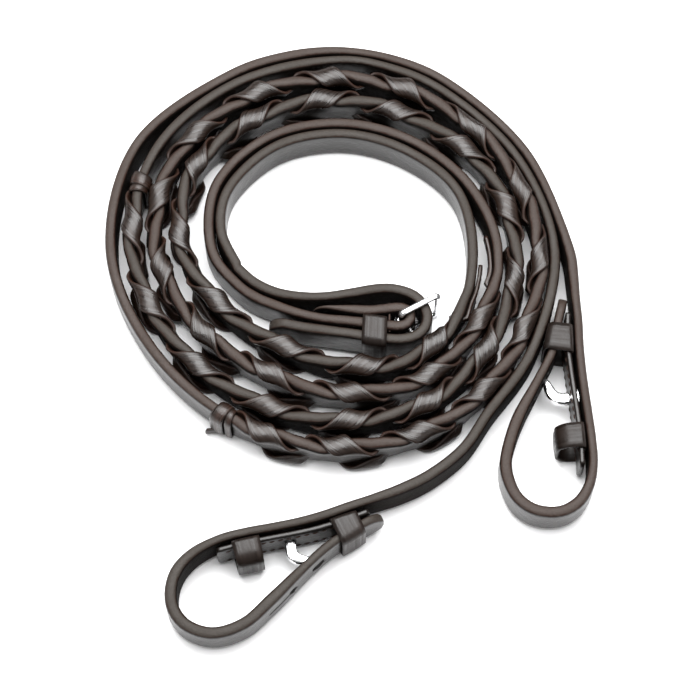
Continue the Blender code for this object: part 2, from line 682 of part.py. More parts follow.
for cutter in CUTTERS.objects:
    cutter.hide_render = True
    cutter.display_type = "WIRE"
bpy.context.view_layer.update()
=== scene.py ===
"""Looks for the coiled laced reins: strap leather, laces, keepers, stitching and studio."""

import math

import bpy
import numpy as np
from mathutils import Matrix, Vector


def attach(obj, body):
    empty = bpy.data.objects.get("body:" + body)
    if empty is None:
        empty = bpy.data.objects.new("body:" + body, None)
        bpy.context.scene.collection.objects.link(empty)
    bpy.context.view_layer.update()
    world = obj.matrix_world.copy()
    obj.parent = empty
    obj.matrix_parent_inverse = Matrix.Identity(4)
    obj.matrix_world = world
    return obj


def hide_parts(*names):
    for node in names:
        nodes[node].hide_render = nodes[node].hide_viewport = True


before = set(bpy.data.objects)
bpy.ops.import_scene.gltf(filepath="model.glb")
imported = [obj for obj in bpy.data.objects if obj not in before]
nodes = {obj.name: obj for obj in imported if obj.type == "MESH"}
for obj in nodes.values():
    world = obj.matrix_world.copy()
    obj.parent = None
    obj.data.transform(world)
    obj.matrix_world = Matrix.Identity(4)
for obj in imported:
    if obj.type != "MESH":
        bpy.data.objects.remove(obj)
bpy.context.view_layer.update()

MM = 0.001
PLAN_SHIFT = (0.99, -6.43)      # centres the plan points on the frame's origin
COIL = np.array([-4.0, 40.0])   # the coil's middle in the plan
WIDTH = 16.0            # of the strap, which stands on its edge
THICK = 3.6             # of the strap in the CAD
CHAPE_THICK = 2.2
SHOULDER = 14.2         # height where a strap's top edge begins to round
CROWN = 1.75            # height of that rounding
LACE_WIDTH = 5.0        # where it crosses the strap's edge
LACE_PINCH = 3.0        # where it goes through a slot
LACE_THICK = 1.3
LACE_RADIUS = 2.0       # of the arc that it makes over the edge
LACE_PUFF = 1.3         # how far that arc is stretched on each side
LACE_MID = 10.75        # height at which the upper lace goes through the strap
STAGGER = 3.5           # how far the lower lace's slots are past the upper lace's
LACED_LIFT = 1.5        # height of a laced strap off the floor
BUCKLE_LIFT = 2.5       # the same at the buckle
WAVE = 1.5              # how far the top edge of a laced strap may sway
BULGE = 0.36            # share by which it swells between two wraps
TIP = 7.0               # length of the rounding at a free end
SKIVE = 20.0            # length over which the turned-back end is thinned
LOOP_HALF = 2.35        # half thickness of the bit loop, where its neighbours leave room
PLAIN_HALF = 2.15       # the same for the plain strap
LACED_HALF = 2.0        # the same where it is laced
CLEAR = 0.3             # gap usually left between two pieces
FAR = 99.0              # room beside a strand that has no neighbour
HOLE_AT = 45.0          # from the billet tip to its round hole
HOLE_RADIUS = 2.3
SLIT = 12.0             # length of the slit next to that hole
CATCH = (3.2, 2.2)      # half length and half height of the opening for a hook's point
STUD_RADIUS = 2.1       # of a stud's hole in its chape
RIGHT_HOOK = [(84.0, -21.5), (76.2, -12.9)]     # plan points of the hook's foot and point
LEFT_HOOK = [(-22.6, -82.2), (-13.6, -87.7)]
BAR = np.array([20.1, 10.6])    # buckle bar axis in the plan
TONGUE_ANGLE = -34.0    # of the tongue in the plan, in degrees
TONGUE_REACH = 10.7     # from the bar to the hole that the tongue's point is in
TONGUE_Z = 10.5
FIELD = 16.5            # the camera's angle of view, in degrees
TILT = 69.0             # the camera's angle above the floor
VIEW_HALF = 138.95      # half of the width that it sees at the coil

# The coils are (degrees round COIL, radius), and the other outlines are plan points.
RIGHT_COIL = [
    (0, 91.9), (30, 87.2), (60, 87.3), (75, 88.8), (90, 90.0), (105, 90.4), (120, 91.0),
    (150, 95.3), (180, 91.8), (210, 85.2), (240, 83.0), (270, 83.3), (300, 83.2), (330, 81.1),
    (360, 80.0), (390, 77.6), (420, 76.5), (450, 77.0), (480, 77.8), (510, 78.0), (540, 73.5),
    (570, 65.0), (600, 59.8), (630, 60.8), (660, 63.8), (690, 63.2), (720, 63.0), (750, 59.2),
    (780, 56.8), (810, 56.7), (840, 58.2), (870, 57.8), (900, 51.2), (920, 43.3)]
LEFT_COIL = [
    (-50, 90.0), (-30, 87.0), (0, 85.9), (30, 83.0), (60, 83.1), (75, 84.6), (90, 85.8),
    (120, 86.4), (150, 86.8), (180, 83.2), (210, 76.5), (240, 72.5), (270, 72.5), (300, 73.3),
    (330, 71.2), (360, 70.2), (390, 68.8), (420, 65.8), (450, 67.0), (480, 68.0), (510, 69.0),
    (540, 63.0), (570, 52.3), (600, 47.0), (630, 49.0), (660, 54.5), (690, 54.6), (720, 53.0),
    (750, 54.1), (780, 51.9), (810, 52.0), (840, 53.2), (870, 52.6), (890, 48.5), (910, 41.5)]
RIGHT_BIT = [
    (85.0, 20.0), (83.5, 14.0), (82.3, 9.0), (81.0, 2.0), (79.5, -4.0), (76.6, -10.0),
    (71.3, -20.0), (66.0, -30.0), (62.3, -40.0), (60.2, -50.0), (61.2, -57.0), (64.5, -64.0),
    (70.0, -68.3), (76.5, -69.8), (82.5, -69.0), (88.5, -65.0), (92.5, -58.0), (94.1, -50.0),
    (93.8, -40.0), (92.8, -30.0), (91.7, -20.0), (90.8, -10.0), (90.3, 0.0), (90.2, 10.0),
    (89.5, 20.0), (89.0, 30.0)]
LEFT_BIT = [
    (12.5, -70.8), (8.0, -72.8), (2.0, -76.1), (-4.0, -80.0), (-10.0, -84.6), (-20.0, -94.3),
    (-30.0, -104.5), (-40.0, -113.6), (-52.0, -117.3), (-62.0, -114.0), (-66.8, -108.0),
    (-68.0, -101.0), (-66.0, -93.0), (-60.0, -86.0), (-50.0, -80.5), (-40.0, -77.7),
    (-30.0, -75.8), (-20.0, -73.7), (-10.0, -70.9), (0.0, -67.3), (10.0, -63.9), (20.0, -60.2),
    (31.0, -54.5), (44.2, -43.5)]
RIGHT_BUCKLE = [
    (-37.8, 19.9), (-31.0, 16.6), (-20.0, 12.3), (-10.0, 9.9), (0.0, 8.8), (10.0, 7.6),
    (16.0, 6.9), (20.0, 6.7), (23.0, 8.2), (24.0, 10.8), (22.7, 13.4), (20.0, 14.5),
    (14.0, 13.9), (8.0, 13.3), (0.0, 13.8), (-8.0, 14.4), (-14.5, 15.0)]
LEFT_BUCKLE = [
    (-45.7, 33.4), (-39.0, 26.5), (-30.0, 21.5), (-20.0, 19.4), (-10.0, 19.2), (0.0, 20.6),
    (10.0, 22.4), (15.0, 22.7), (20.0, 21.9), (25.0, 19.9), (28.5, 16.4), (30.6, 10.8),
    (29.3, 5.8), (26.0, 2.6), (20.0, 1.1), (10.0, 1.9), (0.0, 3.5), (-10.0, 4.9),
    (-20.0, 6.4), (-26.0, 7.7), (-32.0, 8.2)]
RIGHT_CHAPE = [
    (86.3, 13.0), (85.9, 6.0), (85.9, -3.0), (86.5, -10.0), (87.3, -18.0), (88.3, -27.0),
    (89.2, -36.0), (89.6, -43.0), (89.8, -51.0)]
LEFT_CHAPE = [
    (-51.0, -85.3), (-44.0, -83.2), (-33.0, -80.7), (-27.0, -79.5), (-21.0, -78.3),
    (-14.0, -76.7), (-8.0, -74.9), (0.0, -72.2), (7.5, -69.3)]

# Degrees round the coil of each binding and of each wrap of the upper lace.
RIGHT_BINDING = 238.0
RIGHT_WRAPS = [
    249.5, 269.5, 291.5, 313, 334, 358, 379.5, 406, 431, 453.5, 476.5, 498.5, 523, 546, 574,
    601.5, 634, 663, 691]
LEFT_BINDING = 161.0
LEFT_WRAPS = [
    173.5, 197, 222, 248, 274, 298, 323, 350, 374.5, 401, 430, 455, 482, 506.5, 533, 566, 604,
    642, 673]


class Route:
    """A smooth plan curve in millimetres, kept at even steps of its own length."""

    def __init__(self, points, step=0.5):
        p = np.asarray(points, float)
        p = np.vstack([2 * p[0] - p[1], p, 2 * p[-1] - p[-2]])
        out = []
        for i in range(1, len(p) - 2):
            a, b, c, d = p[i - 1:i + 3]
            ka = math.dist(a, b) ** 0.5
            kb = math.dist(b, c) ** 0.5
            kc = math.dist(c, d) ** 0.5
            m1 = (b - a) / ka - (c - a) / (ka + kb) + (c - b) / kb
            m2 = (c - b) / kb - (d - b) / (kb + kc) + (d - c) / kc
            for t in np.arange(0, 1, 1 / 24):
                h = (2 * t**3 - 3 * t**2 + 1, t**3 - 2 * t**2 + t,
                     3 * t**2 - 2 * t**3, t**3 - t**2)
                out.append(h[0] * b + h[1] * kb * m1 + h[2] * c + h[3] * kb * m2)
        out.append(p[-2])
        xy = np.array(out)
        s = np.r_[0, np.cumsum(np.hypot(*np.diff(xy, axis=0).T))]
        self.length = float(s[-1])
        self.s = np.linspace(0, self.length, int(self.length / step) + 1)
        self.xy = np.column_stack([np.interp(self.s, s, xy[:, k]) for k in (0, 1)])
        slope = np.gradient(self.xy, self.s, axis=0)
        reach = np.arange(-4, 5)
        kernel = np.exp(-(reach / 2.0) ** 2 / 2)
        kernel /= kernel.sum()
        padded = np.pad(slope, ((4, 4), (0, 0)), mode="edge")
        slope = np.column_stack([np.convolve(padded[:, k], kernel, "valid") for k in (0, 1)])
        self.tangent = slope / np.hypot(*slope.T)[:, None]
        self.angle = np.degrees(np.unwrap(np.arctan2(*(self.xy - COIL).T[::-1])))

    def near(self, xy):
        """Length at which the route passes closest to a plan point."""
        return float(self.s[np.argmin(np.hypot(*(self.xy - np.asarray(xy)).T))])

    def spot(self, s, n, z):
        """Points at lengths s, n to the right of travel and z up; arrays of equal shape."""
        s, n, z = np.broadcast_arrays(np.asarray(s, float), n, z)
        over = s - np.clip(s, 0, self.length)
        x = np.interp(s, self.s, self.xy[:, 0])
        y = np.interp(s, self.s, self.xy[:, 1])
        tx = np.interp(s, self.s, self.tangent[:, 0])
        ty = np.interp(s, self.s, self.tangent[:, 1])
        return np.stack([x + tx * over + n * ty + PLAN_SHIFT[0],
                         y + ty * over - n * tx + PLAN_SHIFT[1], z], axis=-1)


def ease(t):
    """Smooth step from 0 to 1."""
    t = np.clip(t, 0, 1)
    return t * t * (3 - 2 * t)


class Strap:
    """One rein: its route, lacing stations, height off the floor and the waves of its edge."""

    def __init__(self, bit, coil, buckle, coil_from, binding, wraps, lean):
        stations = [tuple(COIL + r * np.array([math.cos(math.radians(a)),
                                               math.sin(math.radians(a))])) for a, r in coil]
        self.route = Route(bit + stations + buckle)
        self.start = self.route.near(stations[0])
        begin = int(np.searchsorted(self.route.s, self.start - 1e-6))
        turn = 360 * round((self.route.angle[begin] - coil_from) / 360)
        self.angle = self.route.angle[begin:] - turn
        self.angle_s = self.route.s[begin:]
        self.binding = self.at_angle(binding)
        self.mids = [self.at_angle(a) for a in wraps]
        self.slots = [self.binding] + [(a + b) / 2 for a, b in zip(self.mids, self.mids[1:])]
        self.slots.append(2 * self.mids[-1] - self.slots[-1])
        self.lean = lean
        # heights off the floor, as (length, height)
        self.table = [
            (0, LACED_LIFT), (self.start - 60, LACED_LIFT), (self.start + 20, 0),
            (self.binding - 70, 0), (self.binding - 15, LACED_LIFT),
            (self.slots[-1] + 30, LACED_LIFT), (self.slots[-1] + 80, 0),
            (self.route.near(buckle[0]) - 20, 0), (self.route.near(buckle[4]), BUCKLE_LIFT)]
        self.room = np.full(len(self.route.s), WAVE)
        self.girth = np.ones(len(self.route.s))
        self.sides = np.full((2, len(self.route.s)), FAR)

    def at_angle(self, a):
        """Length at which the strap has gone a degrees round the coil."""
        return float(np.interp(a, self.angle, self.angle_s))

    def laced(self, s):
        """Whether the strap has laces at length s."""
        return (s > self.slots[0] - 6) & (s < self.slots[-1] + 10)

    def lift(self, s):
        """Height of the strap's lower edge off the floor."""
        s = np.asarray(s, float)
        out = np.full(s.shape, self.table[-1][1], float)
        for (a, low), (b, high) in list(zip(self.table, self.table[1:]))[::-1]:
            out = np.where(s <= b, low + (high - low) * ease((s - a) / max(b - a, 1e-6)), out)
        return out

    def wave(self, s):
        """Phase and strength of the edge's wave: a whole turn from one wrap to the next."""
        ends = [2 * self.mids[0] - self.mids[1], *self.mids, 2 * self.mids[-1] - self.mids[-2]]
        turns = np.interp(s, ends, np.arange(-1, len(ends) - 1))
        strength = ease((s - self.binding + 2) / 12) * ease((self.slots[-1] + 14 - s) / 16)
        return 2 * math.pi * turns, strength * np.interp(s, self.route.s, self.room)

    def sway(self, s):
        """How far the top edge stands to the right of the route: slow out, quick back."""
        phase, strength = self.wave(s)
        return -self.lean * strength * (np.sin(phase) + 0.35 * np.sin(2 * phase)) / 1.17

    def shape(self, s, z):
        """Swelling, shift to the right and rise of the strap's section at height z."""
        phase, strength = self.wave(s)
        share = strength / WAVE
        rise = ease((z - 5) / 10.5)
        rounding = 0.3 * share * np.clip((z - 13.6) / 2.4, 0, 1) ** 3
        swell = 1 + share * rise * (BULGE * (0.5 - 0.5 * np.cos(phase)) - 0.08) - rounding
        swell = swell * np.interp(s, self.route.s, self.girth)
        return swell, self.sway(s) * (1.25 * rise - 0.25), -0.35 * np.cos(phase) * share * rise

    def place(self, s, n, z):
        """A point of the strap's own section after the edge's wave, bulge and floor lift."""
        s, n, z = np.broadcast_arrays(np.asarray(s, float), n, z)
        swell, shift, dip = self.shape(s, z)
        return self.route.spot(s, n * swell + shift, z + dip + self.lift(s))

    def held_back(self, s, n):
        """Cross-sections of a lace drawn in until they clear the neighbouring strands."""
        s, n = np.broadcast_arrays(np.asarray(s, float), n)
        out = n.copy()
        for beyond, side in zip(self.sides, (-1, 1)):
            room = np.interp(s, self.route.s, beyond).min(axis=1, keepdims=True)
            most = np.maximum((n * side).max(axis=1, keepdims=True), 0.1)
            out = np.where(n * side > 0, out * np.minimum(1, room / most), out)
        return out

    def clear_of(self, s, n, z, spare):
        """Lace points round the top edge, pushed outward until they clear the strap."""
        s, n, z = np.broadcast_arrays(np.asarray(s, float), n, z)
        swell, shift, dip = self.shape(s, z)
        base = SHOULDER + dip
        above = np.clip(z + dip - base, 0, None)
        size = ((np.abs(n) / (THICK / 2 * swell + spare)) ** 4
                + (above / (CROWN + spare)) ** 4) ** 0.25
        grow = np.clip(1 / np.maximum(size, 0.25), 1, None)
        return shift + n * grow, np.where(above > 0, base + above * grow, z + dip)


def make_mesh(name, grids, material, caps=True):
    """One object from grids of points, each closed round its second index.

    With each grid come the lengths along it, those round it and the whole way round, in
    metres: they are its UV map.
    """
    points = []
    faces = []
    uv = []
    base = 0
    for grid, (along, around, total) in grids:
        grid = np.asarray(grid, float) * MM
        n, m = grid.shape[:2]
        points.append(grid.reshape(-1, 3))
        i = np.arange(n - 1)[:, None]
        j = np.arange(m)[None, :]
        k = (j + 1) % m
        quads = np.stack([i * m + j, i * m + k, (i + 1) * m + k, (i + 1) * m + j], -1)
        faces.extend((quads.reshape(-1, 4) + base).tolist())
        u = np.broadcast_to(along[:, None], (n, m))
        v = np.broadcast_to(around, (n - 1, m))
        v_next = np.broadcast_to(np.append(around[1:], around[0] + total), (n - 1, m))
        corners = [np.stack(pair, -1) for pair in (
            (u[:-1], v), (u[:-1], v_next), (u[1:], v_next), (u[1:], v))]
        uv.append(np.stack(corners, 2).reshape(-1, 2))
        if caps:
            faces.append((np.arange(m)[::-1] + base).tolist())
            faces.append((np.arange(m) + base + (n - 1) * m).tolist())
            uv.append(np.full((2 * m, 2), 0.0))
        base += n * m
    mesh = bpy.data.meshes.new(name)
    mesh.from_pydata(np.vstack(points).tolist(), [], faces)
    layer = mesh.uv_layers.new(name="strip")
    layer.data.foreach_set("uv", np.vstack(uv).astype(np.float32).ravel())
    mesh.materials.append(material)
    mesh.polygons.foreach_set("use_smooth", [True] * len(mesh.polygons))
    mesh.update()
    obj = bpy.data.objects.new(name, mesh)
    bpy.context.scene.collection.objects.link(obj)
    return obj


def section(thick, width, corner, dome, tall_points=6, edge_points=4):
    """Rounded strap section as (n, z) from the inner bottom corner up, and its running length.

    The two cut edges stand up by dome in their middle, inside the width.
    """
    half = thick / 2
    out = []
    corners = [(-half + corner, corner, 180), (half - corner, corner, 270),
               (half - corner, width - corner, 0), (-half + corner, width - corner, 90)]
    for index, (n, z, begin) in enumerate(corners):
        for step in range(5):
            t = math.radians(begin + 22.5 * step)
            out.append((n + corner * math.cos(t), z + corner * math.sin(t)))
        count = tall_points if index % 2 else edge_points
        here = np.array(out[-1])
        n_next, z_next, begin_next = corners[(index + 1) % 4]
        t = math.radians(begin_next)
        ahead = np.array([n_next + corner * math.cos(t), z_next + corner * math.sin(t)])
        out += [tuple(here + (ahead - here) * step / count) for step in range(1, count)]
    out = np.array(out)
    out[:, 1] += dome * (out[:, 0] / half) ** 2 * (1 - 2 * out[:, 1] / width)
    gaps = np.hypot(*np.diff(np.vstack([out, out[:1]]), axis=0).T)
    return out, np.r_[0, np.cumsum(gaps)[:-1]], gaps.sum()


def strap_grid(place, first, last, step, profile, tip=TIP, skive=0.0):
    """Grid for a strap between two lengths, its ends rounded and its far end thinned."""
    outline, around, total = profile
    s = np.linspace(first, last, max(int((last - first) / step), 4) + 1)
    fine = np.array([0.0, 0.15, 0.5, 1.0, 1.7, 2.6, 3.8, 5.2])
    s = np.concatenate([first + fine, s[(s > first + 6) & (s < last - 6)], last - fine[::-1]])
    nearest = np.minimum(s - first, last - s)[:, None]
    tall = np.sqrt(1 - (1 - np.clip((nearest + 0.25) / tip, 0, 1)) ** 2)
    thin = 0.75 + 0.25 * ease(nearest / 1.2)
    if skive:
        thin = thin * (0.3 + 0.7 * ease((last - s[:, None]) / skive))
    middle = outline[:, 1].mean()
    n = outline[None, :, 0] * thin
    z = middle + (outline[None, :, 1] - middle) * tall
    return place(s[:, None] + 0 * n, n, z), (s * MM, around * MM, total * MM)


def ribbon_section(thick):
    """Rounded, slightly crowned lace section: (share of the half width, height), its run."""
    edge = 0.16
    crown = 0.2

    def rounded(middle, degrees):
        t = math.radians(degrees)
        return middle + edge * math.cos(t), thick / 2 * (1 + math.sin(t))

    out = [(part, 0.0) for part in np.linspace(-1 + edge, 1 - edge, 9)]
    out += [rounded(1 - edge, degrees) for degrees in (-45, 0, 45)]
    out += [(part, thick + crown * (1 - part * part))
            for part in np.linspace(1 - edge, -1 + edge, 9)]
    out += [rounded(-1 + edge, degrees) for degrees in (135, 180, 225)]
    out = np.array(out)
    scale = np.array([LACE_WIDTH / 2, 1.0])
    gaps = np.hypot(*np.diff(np.vstack([out, out[:1]]) * scale, axis=0).T)
    return out, np.r_[0, np.cumsum(gaps)[:-1]], gaps.sum()


def node_material(name):
    """A new material, its node tree and its shader."""
    material = bpy.data.materials.new(name)
    material.use_nodes = True
    tree = material.node_tree
    return material, tree, tree.nodes["Principled BSDF"]


def maths(tree, operation, a, b):
    """A Math node on two inputs, each a socket or a number."""
    node = tree.nodes.new("ShaderNodeMath")
    node.operation = operation
    for socket, value in zip(node.inputs, (a, b)):
        if isinstance(value, (int, float)):
            socket.default_value = value
        else:
            tree.links.new(value, socket)
    return node.outputs[0]


def span(tree, value, low, high, to_low, to_high):
    """A Map Range node from (low, high) to (to_low, to_high)."""
    node = tree.nodes.new("ShaderNodeMapRange")
    for key, number in (("From Min", low), ("From Max", high), ("To Min", to_low),
                        ("To Max", to_high)):
        node.inputs[key].default_value = number
    tree.links.new(value, node.inputs["Value"])
    return node.outputs["Result"]


def blend_colour(tree, factor, a, b):
    """A colour mix; a and b are sockets or (r, g, b)."""
    node = tree.nodes.new("ShaderNodeMix")
    node.data_type = "RGBA"
    tree.links.new(factor, node.inputs["Factor"])
    for key, value in (("A", a), ("B", b)):
        if isinstance(value, tuple):
            node.inputs[key].default_value = (*value, 1)
        else:
            tree.links.new(value, node.inputs[key])
    return node.outputs["Result"]


def noise(tree, vector, scale, detail=4.0, roughness=0.55):
    """The value of a Noise Texture node."""
    node = tree.nodes.new("ShaderNodeTexNoise")
    node.inputs["Scale"].default_value = scale
    node.inputs["Detail"].default_value = detail
    node.inputs["Roughness"].default_value = roughness
    tree.links.new(vector, node.inputs["Vector"])
    return node.outputs["Fac"]


def bump(tree, height, strength, distance, below=None):
    """The normal of a Bump node, laid over the normal below it."""
    node = tree.nodes.new("ShaderNodeBump")
    node.inputs["Strength"].default_value = strength
    node.inputs["Distance"].default_value = distance
    tree.links.new(height, node.inputs["Height"])
    if below is not None:
        tree.links.new(below, node.inputs["Normal"])
    return node.outputs["Normal"]


def leather(name, face, edges, rough, shine, grain=0.35, streaks=0.0):
    """Waxed leather: mottled colour, pores, creases and lengthwise fibres.

    edges lists (v, reach, colour): bands of another colour round a strip, v metres round it; a
    lace's bands are its reddish cut edges, and the band along a strap's top crest is a painted
    highlight.
    rough is the lowest and highest roughness of the surface, and shine its specular level.
    """
    material, tree, shader = node_material(name)
    where = tree.nodes.new("ShaderNodeTexCoord").outputs["Object"]
    strip = tree.nodes.new("ShaderNodeUVMap")
    strip.uv_map = "strip"
    split = tree.nodes.new("ShaderNodeSeparateXYZ")
    tree.links.new(strip.outputs["UV"], split.inputs["Vector"])
    fibres_at = tree.nodes.new("ShaderNodeMapping")
    fibres_at.inputs["Scale"].default_value = (70.0, 2600.0, 1.0)
    tree.links.new(strip.outputs["UV"], fibres_at.inputs["Vector"])
    fibres = noise(tree, fibres_at.outputs["Vector"], 1.0, 3.0)
    mottle = noise(tree, where, 70.0, 5.0)
    fine = noise(tree, where, 1100.0, 3.0, 0.65)
    wander = maths(tree, "SUBTRACT", noise(tree, where, 420.0), 0.5)
    wander = maths(tree, "MULTIPLY", wander, 1.6 * MM)

    deep = tuple(0.62 * c for c in face)
    bright = tuple(1.45 * c for c in face)
    colour = blend_colour(tree, span(tree, mottle, 0.3, 0.7, 0.0, 1.0), deep, bright)
    # Each band blends in its own colour with light speckles: on a lace these are its reddish cut
    # edges, and on a strap's cut edge the band along the top crest is a painted highlight.
    for v, reach, tint in edges:
        away = maths(tree, "ABSOLUTE", maths(tree, "SUBTRACT", split.outputs["Y"], v), 0.0)
        away = maths(tree, "ADD", away, wander)
        inside = span(tree, away, reach, 0.72 * reach, 0.0, 1.0)
        light = tuple(1.35 * c for c in tint)
        edge_tone_and_highlight = blend_colour(tree, span(tree, fine, 0.35, 0.7, 0.0, 1.0), tint, light)
        colour = blend_colour(tree, inside, colour, edge_tone_and_highlight)
        band_mask = inside
    if streaks:
        dim = tree.nodes.new("ShaderNodeMix")
        dim.data_type = "RGBA"
        dim.blend_type = "MULTIPLY"
        dim.inputs["Factor"].default_value = streaks
        tree.links.new(colour, dim.inputs["A"])
        shade = span(tree, fibres, 0.3, 0.7, 0.35, 1.5)
        tree.links.new(shade, dim.inputs["B"])
        colour = dim.outputs["Result"]
    tree.links.new(colour, shader.inputs["Base Color"])

    gloss = span(tree, mottle, 0.3, 0.7, rough[0], rough[1])
    if edges:
        gloss = maths(tree, "ADD", gloss, maths(tree, "MULTIPLY", band_mask, 0.1))
    if streaks:
        gloss = maths(tree, "ADD", gloss, span(tree, fibres, 0.3, 0.7, -0.08, 0.22))
    tree.links.new(gloss, shader.inputs["Roughness"])
    shader.inputs["Specular IOR Level"].default_value = shine

    normal = bump(tree, noise(tree, where, 150.0, 2.0), 0.35, 0.0009)
    normal = bump(tree, fine, grain, 0.0003, normal)
    if streaks:
        normal = bump(tree, fibres, 0.5 * streaks, 0.0003, normal)
    tree.links.new(normal, shader.inputs["Normal"])
    return material


def metal(name):
    """Bright plated steel with faint polishing scratches."""
    material, tree, shader = node_material(name)
    shader.inputs["Base Color"].default_value = (0.82, 0.82, 0.83, 1)
    shader.inputs["Metallic"].default_value = 1.0
    where = tree.nodes.new("ShaderNodeTexCoord").outputs["Object"]
    cloud = noise(tree, where, 300.0, 4.0, 0.5)
    tree.links.new(span(tree, cloud, 0.0, 1.0, 0.14, 0.22), shader.inputs["Roughness"])
    tree.links.new(bump(tree, cloud, 0.08, 0.0002), shader.inputs["Normal"])
    return material


def camera():
    """The photograph's three-quarter view from above the two bit loops."""
    data = bpy.data.cameras.new("camera")
    data.sensor_width = 36.0
    half = math.radians(FIELD / 2)
    data.lens = data.sensor_width / 2 / math.tan(half)
    distance = VIEW_HALF * MM / math.tan(half)
    tilt = math.radians(TILT)
    target = Vector((*PLAN_SHIFT, WIDTH / 2)) * MM
    obj = bpy.data.objects.new("camera", data)
    obj.location = target + distance * Vector((0, -math.cos(tilt), math.sin(tilt)))
    obj.rotation_euler = (math.radians(90) - tilt, 0, 0)
    bpy.context.scene.collection.objects.link(obj)
    bpy.context.scene.camera = obj


STRAP_SECTION = section(THICK, WIDTH, 0.95, 0.55)
CHAPE_SECTION = section(CHAPE_THICK, WIDTH, 0.7, 0.2)
LACE_SECTION = ribbon_section(LACE_THICK)
LACE_EDGES = [float(LACE_SECTION[1][k]) for k in (10, 22)]
STRAP_TOP = MM * float(STRAP_SECTION[1][np.argmax(STRAP_SECTION[0][:, 1])])
right = Strap(RIGHT_BIT, RIGHT_COIL, RIGHT_BUCKLE, 0, RIGHT_BINDING, RIGHT_WRAPS, 1)
left = Strap(LEFT_BIT, LEFT_COIL, LEFT_BUCKLE, -50, LEFT_BINDING, LEFT_WRAPS, -1)
right_chape = Route(RIGHT_CHAPE)
left_chape = Route(LEFT_CHAPE)

RIGHT_LEATHER = leather("right_bridle_leather", (0.0066, 0.0042, 0.0031), [], (0.28, 0.38), 0.46)
LEFT_LEATHER = leather("left_bridle_leather", (0.0064, 0.0046, 0.0035), [], (0.28, 0.38), 0.40)
# On each strap's cut edge the reddish tone is the edge's own; the lighter, greyer band along the
# top crest is a painted highlight from the overhead key, and the bottom edge has none.
RIGHT_EDGE = leather(
    "right_cut_edge", (0.0205, 0.0082, 0.0052),
    [(STRAP_TOP, 1.7 * MM, (0.0325, 0.0228, 0.0186))], (0.40, 0.52), 0.26, 0.6)
LEFT_EDGE = leather(
    "left_cut_edge", (0.0185, 0.0085, 0.0056),
    [(STRAP_TOP, 1.7 * MM, (0.0265, 0.0214, 0.0175))], (0.40, 0.52), 0.26, 0.6)
FLESH_LEATHER = leather("flesh_side", (0.0060, 0.0040, 0.0030), [], (0.7, 0.85), 0.08, 0.7)
LACE_LEATHER = leather(
    "lace_leather", (0.0118, 0.0058, 0.0034),
    [(at * MM, 0.8 * MM, (0.0185, 0.0082, 0.0050)) for at in LACE_EDGES], (0.23, 0.33), 0.46,
    0.25, 1.0)
KEEPER_LEATHER = leather("keeper_leather", (0.0110, 0.0066, 0.0048), [], (0.30, 0.42), 0.30,
                         0.25, 0.5)
THREAD = leather("waxed_thread", (0.036, 0.018, 0.012), [], (0.6, 0.8), 0.3, 1.0)
METAL = metal("polished_steel")


def gaps_to(other, strap, i, own):
    """Distances from point i of a strap to another strap, or to its own other strands."""
    gap = np.hypot(*(other.route.xy - strap.route.xy[i]).T)
    if other is strap:
        gap = np.where(np.abs(other.route.s - strap.route.s[i]) < own, FAR, gap)
    return gap


def running_mean(values, reach):
    """Mean of each value and of reach values on each side."""
    window = np.ones(2 * reach + 1) / (2 * reach + 1)
    return np.convolve(np.pad(values, reach, mode="edge"), window, "valid")


def room_beside(strap, others):
    """Wave strength that each length of a strap can have before it meets a neighbour."""
    room = np.full(len(strap.route.s), WAVE)
    least = 0.3
    for other in others:
        for i in range(0, len(room), 8):
            gap = gaps_to(other, strap, i, 60)
            closest = int(gap.argmin())
            spare = gap[closest] - THICK - CLEAR
            share = spare / 2 if other.laced(other.route.s[closest]) else spare
            room[i:i + 8] = np.minimum(room[i:i + 8], max(share, least))
    return np.minimum(running_mean(room, 20), WAVE)


def plan_of(node):
    """Plan points of a metal part, in millimetres."""
    return np.array([(node.matrix_world @ v.co)[:2] for v in node.data.vertices]) / MM - PLAN_SHIFT


def sides_beside(strap, others):
    """How far a lace may stand out on the left and right of each length of a strap."""
    route = strap.route
    sides = np.full((2, len(route.s)), FAR)
    swing_middle, swing_half = 0.9, 1.2     # radians round the bar that the frame can reach
    from_bar = route.xy - BAR
    swept = np.abs(np.arctan2(*from_bar.T[::-1]) - swing_middle) < swing_half
    sweep = np.hypot(*(plan_of(nodes["buckle_frame"]) - BAR).T).max() + CLEAR
    sides[:, swept] = np.hypot(*from_bar[swept].T) - sweep
    for i in range(0, len(route.s), 4):
        tangent = route.tangent[i]
        for other in others:
            away = other.route.xy - route.xy[i]
            ahead = away @ tangent
            across = away[:, 0] * tangent[1] - away[:, 1] * tangent[0]
            beside = np.abs(ahead) < 5
            if other is strap:
                beside &= np.abs(other.route.s - route.s[i]) > 30
            room = np.where(other.laced(other.route.s), np.abs(across) / 2 - 0.1,
                            np.abs(across) - PLAIN_HALF - 0.2)
            for k, side in enumerate((-1, 1)):
                near = beside & (across * side > 0)
                if near.any():
                    sides[k, i:i + 4] = np.minimum(sides[k, i:i + 4], room[near].min())
    return np.maximum(sides, THICK / 2 + CLEAR)


